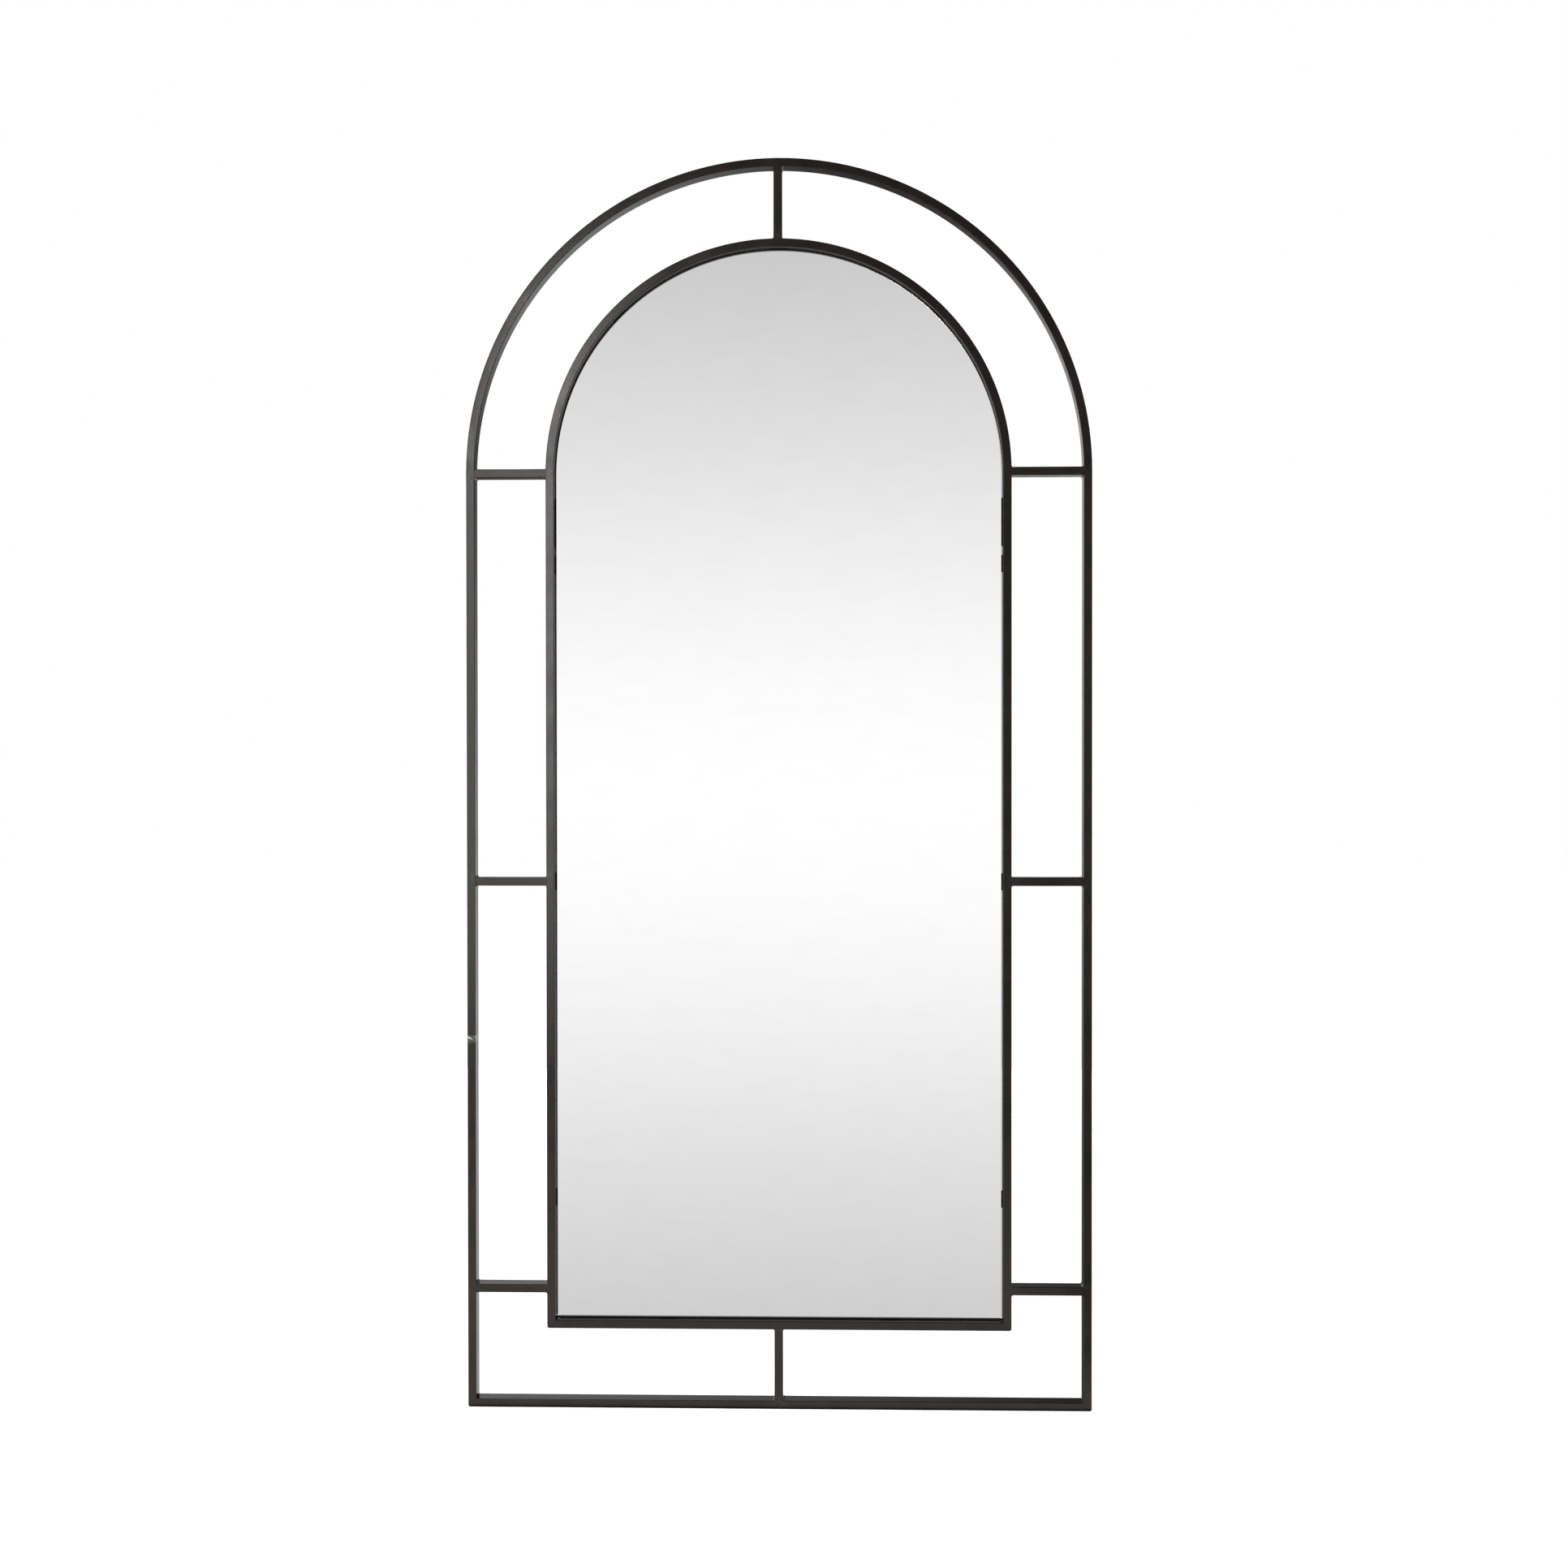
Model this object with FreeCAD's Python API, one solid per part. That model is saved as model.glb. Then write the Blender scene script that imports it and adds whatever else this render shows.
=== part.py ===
import FreeCAD
import Part

import math
import os

# Arched wall mirror. Two frames of flat steel tube with half-round heads share one arch
# centre and are welded together by eight short spacers. The glass is bonded to a board,
# set back inside the inner frame and screwed to tabs at the back.
# Millimetres. X runs to the right, Y back towards the wall and Z up. The origin is the
# middle of the bottom rail's underside, halfway through the tube's depth.

# the two frames
overall_width = 900.0
overall_height = 1800.0
frame_gap = 115.0            # from the outer frame's outside to the inner frame's outside
ground_corner = 3.0          # the bottom corners are ground round after welding

# the tube
tube_face = 12.0
tube_depth = 25.0
tube_wall = 1.2
tube_corner = 2.0
corner_flats = 2             # the rolled corners are drawn as this many flats
small_corners = 12           # screws, their holes and the rings' wire are drawn with flats too

# the spacers
low_spacer_height = 1.5 * frame_gap
weld_leg = 2.5               # how far a fillet weld climbs each side of its corner
weld_throat = 0.38           # where the fillet's middle lies, as a share of its leg

# the mirror panel, from the back of the tube forward
tab_thickness = 1.5
board_thickness = 5.0
tape_thickness = 1.0
glass_thickness = 4.0
panel_clearance = 1.5        # all round, between the panel and the tube
glass_arris = 0.5
nipped_corner = 3.0
tape_width = 25.0
tape_strips = 5
tape_margin = 45.0           # from a strip's ends to the panel's edge

# the tabs that hold the panel
root_overlap = 0.8           # how far a plate's welded edge laps the tube's rolled corner
tab_length = 25.0
tab_reach = 15.0
tab_snip = 3.5
tab_hole_radius = 2.0
tab_hole_inset = 8.0
stile_tab_heights = (300.0, 760.0, 1220.0)
arch_tab_angles = (45.0, 90.0, 135.0)
rail_tab_offset = 160.0

# pan-head screws, the same all over
screw_radius = 1.5
screw_head_radius = 3.25
screw_head_height = 2.0
screw_head_chamfer = 0.8
screw_tip_cover = 1.2        # board left in front of a screw's tip

# the hangers
ring_axis_height = 1300.0
hanger_inset = 18.0          # from the stile's inner side to the middle of the strap
plate_reach = 32.0
plate_above = 15.0
plate_below = 55.0
plate_snip = 6.0
strap_width = 14.0
strap_length = 45.0
strap_thickness = 1.0
strap_hole_radius = 1.75
strap_hole_drops = (26.0, 38.0)
wire_radius = 1.5
wire_play = 0.3              # between the ring's wire and the eye rolled round it
eye_wrap = 290.0             # degrees of roll
ring_half_width = 12.0
ring_bend = 4.0
ring_leg = 2.0
bend_steps = 4
bow_steps = 12

# the wall bumpers
bumper_radius = 5.0
bumper_height = 6.0
bumper_chamfer = 0.8
bumper_corners = 24
bumper_heights = (40.0, 1290.0)

# what follows from them
half_width = overall_width / 2
spring_height = overall_height - half_width
inner_half_width = half_width - frame_gap
opening_half_width = inner_half_width - tube_face
opening_foot = frame_gap + tube_face
back = tube_depth / 2
board_back = back - tab_thickness
board_front = board_back - board_thickness
tape_front = board_front - tape_thickness
glass_front = tape_front - glass_thickness
panel_half_width = opening_half_width - panel_clearance
panel_foot = opening_foot + panel_clearance
screw_tip = board_front + screw_tip_cover
strap_face = back + strap_thickness
eye_inner = wire_radius + wire_play
eye_outer = eye_inner + strap_thickness
ring_axis = back + eye_outer
sides = (("left", -1), ("right", 1))


def vec(x, y, z):
    return FreeCAD.Vector(x, y, z)


def loop(points):
    return Part.makePolygon([*points, points[0]])


def prism(outline, front, thickness):
    # a straight-sided outline in the XZ plane, carried back from front
    return Part.Face(loop([vec(x, front, z) for x, z in outline])).extrude(vec(0, thickness, 0))


def pin(radius, front, length, x=0.0, z=0.0):
    return Part.makeCylinder(radius, length, vec(x, front, z), vec(0, 1, 0))


def polygon(radius, corners, y):
    turns = [2 * math.pi * number / corners for number in range(corners)]
    return loop([vec(radius * math.cos(turn), y, radius * math.sin(turn)) for turn in turns])


def turned(profile, corners=small_corners):
    # a small round piece drawn with flats; profile holds (radius, y) pairs along its axis
    return Part.makeLoft([polygon(radius, corners, y) for radius, y in profile], True, True)


def screw_hole(radius, front, length, x=0.0, z=0.0):
    hole = turned([(radius, front), (radius, front + length)])
    hole.translate(vec(x, 0, z))
    return hole


def placed(shape, x, z, angle):
    # turned in the XZ plane from +X towards +Z, then moved
    moved = shape.copy()
    moved.rotate(vec(0, 0, 0), vec(0, -1, 0), angle)
    moved.translate(vec(x, 0, z))
    return moved


def tube_section(x, z):
    # a rectangle with rolled corners and a square-cornered bore, lying flat at height z
    half_x = tube_face / 2 - tube_corner
    half_y = tube_depth / 2 - tube_corner
    corners = [(half_x, half_y), (-half_x, half_y), (-half_x, -half_y), (half_x, -half_y)]
    points = []
    for quarter, (dx, dy) in enumerate(corners):
        for flat in range(corner_flats + 1):
            turn = math.radians(90 * (quarter + flat / corner_flats))
            points.append(vec(x + dx + tube_corner * math.cos(turn), dy + tube_corner * math.sin(turn), z))
    outside = Part.Face(loop(points))
    bore_x = tube_face - 2 * tube_wall
    bore_y = tube_depth - 2 * tube_wall
    bore = Part.makePlane(bore_x, bore_y, vec(x - bore_x / 2, -bore_y / 2, z))
    return outside.cut(bore).Faces[0]


def upright_tube(x, low, high):
    return tube_section(x, low).extrude(vec(0, 0, high - low))


def level_tube(z, left, right):
    tube = upright_tube(0, 0, right - left)
    tube.rotate(vec(0, 0, 0), vec(0, 1, 0), 90)
    tube.translate(vec(left, 0, z))
    return tube


def arch(outside_radius):
    section = tube_section(outside_radius - tube_face / 2, spring_height)
    return section.revolve(vec(0, 0, spring_height), vec(0, -1, 0), 180)


def corner_shaving(side, outside, foot):
    # what grinding takes off a bottom corner's outside
    margin = 1.0
    centre_x = outside - ground_corner
    block = Part.makeBox(
        ground_corner + margin,
        2 * tube_depth,
        ground_corner + margin,
        vec(centre_x, -tube_depth, foot - margin),
    )
    rounding = pin(ground_corner, -tube_depth, 2 * tube_depth, centre_x, foot + ground_corner)
    shaving = block.cut(rounding)
    if side < 0:
        return shaving.mirror(vec(0, 0, 0), vec(1, 0, 0))
    return shaving


def stile(side, outside, foot):
    # mitred at the bottom, square where it meets the arch
    inside = outside - tube_face
    mitre = [(outside, foot), (inside, foot + tube_face), (inside, spring_height), (outside, spring_height)]
    wedge = prism([(side * x, z) for x, z in mitre], -tube_depth, 2 * tube_depth)
    tube = upright_tube(side * (outside - tube_face / 2), foot, spring_height)
    return tube.common(wedge).cut(corner_shaving(side, outside, foot))


def bottom_rail(outside, foot):
    inside = outside - tube_face
    mitre = [(-outside, foot), (outside, foot), (inside, foot + tube_face), (-inside, foot + tube_face)]
    rail = level_tube(foot + tube_face / 2, -outside, outside)
    rail = rail.common(prism(mitre, -tube_depth, 2 * tube_depth))
    for _, side in sides:
        rail = rail.cut(corner_shaving(side, outside, foot))
    return rail


def frame_members(name, outside, foot):
    members = {f"{name}_arch": arch(outside)}
    for word, side in sides:
        members[f"{name}_{word}_stile"] = stile(side, outside, foot)
    members[f"{name}_bottom_rail"] = bottom_rail(outside, foot)
    return members


def weld_fillet(side, end, away):
    # a hollow fillet between a spacer's side and the tube that it butts against
    corner = side * tube_face / 2
    leg = side * weld_leg
    front = -back + tube_corner
    toe = vec(corner + leg, front, end)
    throat = vec(corner + weld_throat * leg, front, end + away * weld_throat * weld_leg)
    climb = vec(corner, front, end + away * weld_leg)
    root = vec(corner, front, end)
    hollow = Part.Arc(toe, throat, climb).toShape()
    outline = Part.Wire([hollow, Part.makeLine(climb, root), Part.makeLine(root, toe)])
    return Part.Face(outline).extrude(vec(0, tube_depth - 2 * tube_corner, 0))


def upright_spacer(x, low, high):
    # square-cut tube with a fillet weld on each side of both ends
    length = high - low
    spacer = upright_tube(0, 0, length)
    for side in (-1, 1):
        spacer = spacer.fuse([weld_fillet(side, 0, 1), weld_fillet(side, length, -1)])
    spacer.translate(vec(x, 0, low))
    return spacer


def level_spacer(z, left, right):
    spacer = upright_spacer(0, 0, right - left)
    spacer.rotate(vec(0, 0, 0), vec(0, 1, 0), 90)
    spacer.translate(vec(left, 0, z))
    return spacer


def spacers():
    # A square end meets the outer arch's hollow side at the toes of its welds, and the
    # inner arch's round back at the edges of its own bore.
    outer_inside = half_width - tube_face
    arch_inside = math.sqrt(outer_inside**2 - (tube_face / 2 + weld_leg) ** 2)
    arch_back = math.sqrt(inner_half_width**2 - (tube_face / 2 - tube_wall) ** 2)
    middle_height = (spring_height + low_spacer_height) / 2
    rows = (
        ("upper", spring_height, arch_back, arch_inside),
        ("middle", middle_height, inner_half_width, outer_inside),
        ("lower", low_spacer_height, inner_half_width, outer_inside),
    )
    found = {
        "spacer_top": upright_spacer(0, spring_height + arch_back, spring_height + arch_inside),
        "spacer_bottom": upright_spacer(0, tube_face, frame_gap),
    }
    for word, height, near, far in rows:
        found[f"spacer_{word}_left"] = level_spacer(height, -far, -near)
        found[f"spacer_{word}_right"] = level_spacer(height, near, far)
    return found


def arched_plate(half, foot, nip, front, thickness):
    # flat foot, straight sides and a half-round head about the arch centre
    outline = [
        (-half, spring_height),
        (-half, foot + nip),
        (-half + nip, foot),
        (half - nip, foot),
        (half, foot + nip),
        (half, spring_height),
    ]
    points = [vec(x, front, z) for x, z in outline]
    head = Part.Arc(points[-1], vec(0, front, spring_height + half), points[0]).toShape()
    return Part.Face(Part.Wire([Part.makePolygon(points), head])).extrude(vec(0, thickness, 0))


def mirror_glass():
    # the polished arris shows at the front only
    glass = arched_plate(panel_half_width, panel_foot, nipped_corner, glass_front, glass_thickness)
    front = min(glass.Faces, key=lambda face: face.CenterOfMass.y)
    return glass.makeChamfer(glass_arris, front.Edges)


def tape_strip(x):
    # runs from foot to head, short of the panel's edge
    left = x - tape_width / 2
    low = panel_foot + tape_margin
    corner = abs(x) + tape_width / 2
    high = spring_height + math.sqrt((panel_half_width - tape_margin) ** 2 - corner**2)
    return Part.makeBox(tape_width, tape_thickness, high - low, vec(left, tape_front, low))


def tab_places():
    # where each tab's middle meets the tube, and the way it points
    places = {}
    for number, height in enumerate(stile_tab_heights, 1):
        places[f"tab_left_{number}"] = (-opening_half_width, height, 180.0)
        places[f"tab_right_{number}"] = (opening_half_width, height, 0.0)
    for number, angle in enumerate(arch_tab_angles, 1):
        turn = math.radians(angle)
        x = opening_half_width * math.cos(turn)
        z = spring_height + opening_half_width * math.sin(turn)
        places[f"tab_arch_{number}"] = (x, z, angle)
    for word, side in sides:
        places[f"tab_bottom_{word}"] = (side * rail_tab_offset, opening_foot, -90.0)
    return places


def snipped_plate(reach, low, high, snip):
    # a plate whose root is at x = 0, with enough past it to be fitted to the tube's rolled
    # corner, and whose free corners, at x = -reach, are snipped
    outline = [
        (root_overlap, low),
        (root_overlap, high),
        (snip - reach, high),
        (-reach, high - snip),
        (-reach, low + snip),
        (snip - reach, low),
    ]
    return prism(outline, board_back, tab_thickness)


def panel_tab(x, z, angle, member):
    tab = snipped_plate(tab_reach, -tab_length / 2, tab_length / 2, tab_snip)
    tab = tab.cut(screw_hole(tab_hole_radius, board_front, tube_depth, -tab_hole_inset))
    return placed(tab, x, z, angle).cut(member)


def screw(seat, x, z):
    # pan head on the seat, shank running forward into the board
    top = seat + screw_head_height
    head = turned(
        [
            (screw_head_radius, seat),
            (screw_head_radius, top - screw_head_chamfer),
            (screw_head_radius - screw_head_chamfer, top),
        ]
    )
    whole = head.fuse(turned([(screw_radius, screw_tip), (screw_radius, seat)]))
    whole.translate(vec(x, 0, z))
    return whole


def tab_screw_places():
    for x, z, angle in tab_places().values():
        turn = math.radians(angle)
        yield x - tab_hole_inset * math.cos(turn), z - tab_hole_inset * math.sin(turn)


def hanger_screw_places(side):
    for drop in strap_hole_drops:
        yield side * (opening_half_width - hanger_inset), ring_axis_height - drop


def back_board():
    # pilot holes for every screw, blind on the glass side
    board = arched_plate(panel_half_width, panel_foot, nipped_corner, board_front, board_thickness)
    places = list(tab_screw_places())
    for _, side in sides:
        places += hanger_screw_places(side)
    return board.cut([screw_hole(screw_radius, screw_tip, board_thickness, x, z) for x, z in places])


def hanger_plate(side, member):
    plate = snipped_plate(plate_reach, -plate_below, plate_above, plate_snip)
    if side < 0:
        plate = plate.mirror(vec(0, 0, 0), vec(1, 0, 0))
    plate.translate(vec(side * opening_half_width, 0, ring_axis_height))
    holes = [screw_hole(screw_radius, 0, tube_depth, x, z) for x, z in hanger_screw_places(side)]
    return plate.cut([*holes, member])


def eye_point(radius, degrees):
    # round the ring's axis, from +Y towards +Z
    turn = math.radians(degrees)
    return vec(0, ring_axis + radius * math.cos(turn), ring_axis_height + radius * math.sin(turn))


def hanger_strap(side):
    # flat strip rolled into an open eye at the top, full round at the bottom
    foot = ring_axis_height - strap_length
    start, middle, end = 180.0, 180.0 - eye_wrap / 2, 180.0 - eye_wrap
    outside = [eye_point(eye_outer, turn) for turn in (start, middle, end)]
    inside = [eye_point(eye_inner, turn) for turn in (end, middle, start)]
    low_back = vec(0, back, foot)
    low_face = vec(0, strap_face, foot)
    edges = [
        Part.makeLine(low_back, outside[0]),
        Part.Arc(*outside).toShape(),
        Part.makeLine(outside[-1], inside[0]),
        Part.Arc(*inside).toShape(),
        Part.makeLine(inside[-1], low_face),
        Part.makeLine(low_face, low_back),
    ]
    strip = Part.Face(Part.Wire(edges)).extrude(vec(strap_width, 0, 0))
    strip.translate(vec(-strap_width / 2, 0, 0))
    half = strap_width / 2
    shank = Part.makeBox(strap_width, tube_depth, strap_length, vec(-half, 0, foot + half))
    strip = strip.common(shank.fuse(pin(half, 0, tube_depth, 0, foot + half)))
    strip.translate(vec(side * (opening_half_width - hanger_inset), 0, 0))
    holes = [screw_hole(strap_hole_radius, 0, tube_depth, x, z) for x, z in hanger_screw_places(side)]
    return strip.cut(holes)


def ring_path():
    # (x, z, heading) round a D: a straight bar in the eye, two bends and a half-round bow.
    # A heading is the way along the wire, in degrees from +X towards +Z.
    bar = ring_half_width - ring_bend
    bow_centre = -ring_bend - ring_leg
    stations = []
    for centre_x, centre_z, radius, start, end, steps in (
        (bar, -ring_bend, ring_bend, 90, 0, bend_steps),
        (0, bow_centre, ring_half_width, 0, -180, bow_steps),
        (-bar, -ring_bend, ring_bend, 180, 90, bend_steps),
    ):
        for step in range(steps + 1):
            degrees = start + (end - start) * step / steps
            turn = math.radians(degrees)
            x = centre_x + radius * math.cos(turn)
            z = centre_z + radius * math.sin(turn)
            stations.append((x, z, degrees - 90))
    return stations


def hanger_ring(side):
    middle = vec(side * (opening_half_width - hanger_inset), ring_axis, ring_axis_height)
    rings = []
    for x, z, heading in ring_path():
        section = polygon(wire_radius, small_corners, 0)
        section.rotate(vec(0, 0, 0), vec(1, 0, 0), 90)
        section.rotate(vec(0, 0, 0), vec(0, 1, 0), 90)
        section.rotate(vec(0, 0, 0), vec(0, -1, 0), heading)
        section.translate(middle + vec(x, 0, z))
        rings.append(section)
    return Part.makeLoft(rings, True, True, True)


def bumper(x, z):
    top = back + bumper_height
    shape = turned(
        [
            (bumper_radius, back),
            (bumper_radius, top - bumper_chamfer),
            (bumper_radius - bumper_chamfer, top),
        ],
        bumper_corners,
    )
    shape.translate(vec(x, 0, z))
    return shape


def bumpers():
    found = {}
    for word, side in sides:
        for level, height in zip(("lower", "upper"), bumper_heights):
            found[f"bumper_{level}_{word}"] = bumper(side * (half_width - tube_face / 2), height)
    return found


def panel():
    pieces = {"mirror_glass": mirror_glass(), "back_board": back_board()}
    pitch = 2 * panel_half_width / tape_strips
    for number in range(tape_strips):
        x = (number - (tape_strips - 1) / 2) * pitch
        pieces[f"tape_strip_{number + 1}"] = tape_strip(x)
    return pieces


def panel_fixings(inner_frame):
    pieces = {name: panel_tab(*place, inner_frame) for name, place in tab_places().items()}
    screws = [screw(back, x, z) for x, z in tab_screw_places()]
    pieces["panel_screws"] = Part.makeCompound(screws)
    return pieces


def hangers(inner_frame):
    pieces = {}
    screws = []
    for word, side in sides:
        pieces[f"hanger_plate_{word}"] = hanger_plate(side, inner_frame)
        pieces[f"hanger_strap_{word}"] = hanger_strap(side)
        pieces[f"hanger_ring_{word}"] = hanger_ring(side)
        screws += [screw(strap_face, x, z) for x, z in hanger_screw_places(side)]
    pieces["hanger_screws"] = Part.makeCompound(screws)
    return pieces


def main():
    inner_members = frame_members("inner", inner_half_width, frame_gap)
    inner_frame = Part.makeCompound(list(inner_members.values()))
    pieces = {
        **frame_members("outer", half_width, 0),
        **inner_members,
        **spacers(),
        **panel(),
        **panel_fixings(inner_frame),
        **hangers(inner_frame),
        **bumpers(),
    }
    os.makedirs("parts", exist_ok=True)
    for name, shape in pieces.items():
        shape.exportStep(f"parts/{name}.step")
        print(f"{name}: {len(shape.Solids)} solid(s), {shape.Volume / 1000:.2f} cm3, valid {shape.isValid()}")


main()
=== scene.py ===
import math
import random

import bmesh
import bpy
from mathutils import Matrix, Vector


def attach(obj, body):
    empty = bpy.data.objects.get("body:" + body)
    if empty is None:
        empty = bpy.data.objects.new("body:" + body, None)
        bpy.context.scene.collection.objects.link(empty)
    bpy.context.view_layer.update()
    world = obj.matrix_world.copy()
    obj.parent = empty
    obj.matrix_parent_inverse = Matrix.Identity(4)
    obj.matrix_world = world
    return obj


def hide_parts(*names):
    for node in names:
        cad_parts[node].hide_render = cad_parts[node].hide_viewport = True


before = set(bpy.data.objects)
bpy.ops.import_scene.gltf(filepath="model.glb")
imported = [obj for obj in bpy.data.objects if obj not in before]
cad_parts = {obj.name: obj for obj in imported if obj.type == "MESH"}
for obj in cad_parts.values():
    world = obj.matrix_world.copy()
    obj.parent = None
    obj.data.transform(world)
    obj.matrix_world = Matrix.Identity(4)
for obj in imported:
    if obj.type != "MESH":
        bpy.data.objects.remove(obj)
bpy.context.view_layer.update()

# Arched wall mirror: painted flat tube, welded, with the glass set back in the inner arch.
# Metres, facing -Y. Every new piece has its place in its mesh and sits at the origin.

mm = 0.001
upright = (math.pi / 2, 0, 0)    # turns a flat primitive to face -Y

closeness = {
    "plane": 0.001 * mm,       # a cut's own threshold
    "merge": 0.002 * mm,       # points that belong together
    "seam": 0.05 * mm,         # where a bend's end meets its leg
    "match": 0.02 * mm,        # near enough to be the one looked for
}

tube = {
    "face": 12 * mm,
    "depth": 25 * mm,
    "corner": 0.9 * mm,        # what the paint leaves of the rolled corner
    "cornerSteps": 4,
    "springHeight": 1350 * mm,
    "archSteps": 96,
    "groundCorner": 3 * mm,    # the bottom corners, rounded after welding
    "groundSteps": 6,
}
front = -tube["depth"] / 2
back = tube["depth"] / 2
spring = tube["springHeight"]


# ---- modelling by hand, in short


def newPiece(name, add, place=(0, 0, 0), turn=(0, 0, 0), scale=(1, 1, 1), **settings):
    # adds one primitive and moves its place into its mesh
    bpy.ops.object.select_all(action="DESELECT")
    add(location=place, rotation=turn, **settings)
    piece = bpy.context.object
    piece.scale = scale
    bpy.ops.object.transform_apply(location=True, rotation=True, scale=True)
    piece.name = name
    piece.data.name = name
    return piece


def workOn(piece):
    bpy.ops.object.select_all(action="DESELECT")
    piece.select_set(True)
    bpy.context.view_layer.objects.active = piece


def edit(piece):
    workOn(piece)
    bpy.ops.object.mode_set(mode="EDIT")


def pick(kind, wanted):
    # in edit mode, selects the verts, edges or faces that are wanted and nothing else
    bpy.ops.mesh.select_mode(type={"verts": "VERT", "edges": "EDGE", "faces": "FACE"}[kind])
    bpy.ops.mesh.select_all(action="DESELECT")
    mesh = bpy.context.edit_object.data
    bm = bmesh.from_edit_mesh(mesh)
    for item in getattr(bm, kind):
        if wanted(item):
            item.select_set(True)
    bm.select_flush_mode()
    bmesh.update_edit_mesh(mesh)


def middle(item):
    points = [vert.co for vert in item.verts]
    return sum(points, Vector()) / len(points)


def near(value, target, room=closeness["match"]):
    return abs(value - target) < room


def runsAlong(edge, axis):
    # axis 0, 1 or 2
    step = edge.verts[1].co - edge.verts[0].co
    return abs(step[axis]) > 0.999 * step.length


def pull(x=0.0, y=0.0, z=0.0):
    bpy.ops.mesh.extrude_region_move(TRANSFORM_OT_translate={"value": (x, y, z)})


def swing(degrees, steps, centre, axis):
    bpy.ops.mesh.spin(steps=steps, angle=math.radians(degrees), center=centre, axis=axis)


def closeUp():
    # merges doubled points, turns every face outwards and leaves edit mode
    bpy.ops.mesh.select_all(action="SELECT")
    bpy.ops.mesh.remove_doubles(threshold=closeness["merge"])
    bpy.ops.mesh.normals_make_consistent(inside=False)
    bpy.ops.object.mode_set(mode="OBJECT")


def copyOf(piece, name):
    twin = piece.copy()
    twin.data = piece.data.copy()
    twin.name = name
    twin.data.name = name
    bpy.context.collection.objects.link(twin)
    return twin


def applyModifier(piece, kind, **settings):
    workOn(piece)
    modifier = piece.modifiers.new(kind.title(), kind)
    for key, value in settings.items():
        setattr(modifier, key, value)
    bpy.ops.object.modifier_apply(modifier=modifier.name)


def cutAway(piece, cutter):
    applyModifier(piece, "BOOLEAN", operation="DIFFERENCE", object=cutter, solver="EXACT")
    bpy.data.objects.remove(cutter)


def move(piece, place=(0, 0, 0), turn=(0, 0, 0)):
    workOn(piece)
    piece.rotation_euler = turn
    piece.location = place
    bpy.ops.object.transform_apply(location=True, rotation=True, scale=True)


def join(pieces, name):
    bpy.ops.object.select_all(action="DESELECT")
    for piece in pieces:
        piece.select_set(True)
    bpy.context.view_layer.objects.active = pieces[0]
    bpy.ops.object.join()
    pieces[0].name = name
    pieces[0].data.name = name
    return pieces[0]


def smooth(piece, degrees=35):
    workOn(piece)
    bpy.ops.object.shade_smooth_by_angle(angle=math.radians(degrees))
    applyModifier(piece, "WEIGHTED_NORMAL", keep_sharp=True, weight=100)


def put(piece, body, slot, *nodes):
    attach(piece, body)
    if nodes:
        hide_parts(*nodes)
    return piece


# ---- the two frames

frames = {
    "outer": {"outside": 450 * mm, "foot": 0.0},
    "inner": {"outside": 335 * mm, "foot": 115 * mm},
}


def wholeFrame(name, outside, foot):
    # a strip drawn on the front face, pulled back to the tube's depth, then rounded
    face = tube["face"]
    inside = outside - face
    top = foot + face
    legHeight = spring - top
    whole = newPiece(
        name,
        bpy.ops.mesh.primitive_plane_add,
        place=(-(inside + face / 2), front, top + legHeight / 2),
        turn=upright,
        scale=(face, legHeight, 1),
        size=1,
    )
    edit(whole)
    pick("edges", lambda edge: near(middle(edge).z, spring))
    swing(180, tube["archSteps"], (0, front, spring), (0, -1, 0))
    pull(z=-legHeight)
    pull(z=-face)
    pick("edges", lambda edge: near(middle(edge).x, inside) and near(middle(edge).z, foot + face / 2))
    pull(x=-2 * inside)
    pick("edges", lambda edge: middle(edge).x < 0 and near(middle(edge).z, top) and runsAlong(edge, 0)
         and near(middle(edge).x, -(inside + face / 2)))
    pull(z=-face)
    bpy.ops.mesh.select_all(action="SELECT")
    bpy.ops.mesh.remove_doubles(threshold=closeness["seam"])
    pull(y=tube["depth"])
    bpy.ops.mesh.select_all(action="SELECT")
    bpy.ops.mesh.normals_make_consistent(inside=False)
    pick("edges", lambda edge: runsAlong(edge, 1) and near(middle(edge).z, foot)
         and near(abs(middle(edge).x), outside))
    bpy.ops.mesh.bevel(
        offset=tube["groundCorner"], segments=tube["groundSteps"], affect="EDGES", clamp_overlap=False
    )
    pick("edges", isRim)
    bpy.ops.mesh.bevel(
        offset=tube["corner"], segments=tube["cornerSteps"], affect="EDGES", clamp_overlap=False
    )
    closeUp()
    return whole


def isRim(edge):
    # between a front or back face and one that faces sideways
    if len(edge.link_faces) != 2:
        return False
    tilts = sorted(abs(face.normal.y) for face in edge.link_faces)
    return tilts[0] < 0.1 and tilts[1] > 0.9


def trim(piece, place, normal):
    # keeps what lies behind the plane
    edit(piece)
    bpy.ops.mesh.select_all(action="SELECT")
    bpy.ops.mesh.bisect(
        plane_co=place, plane_no=normal, use_fill=True, clear_outer=True, threshold=closeness["plane"]
    )
    closeUp()


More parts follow.
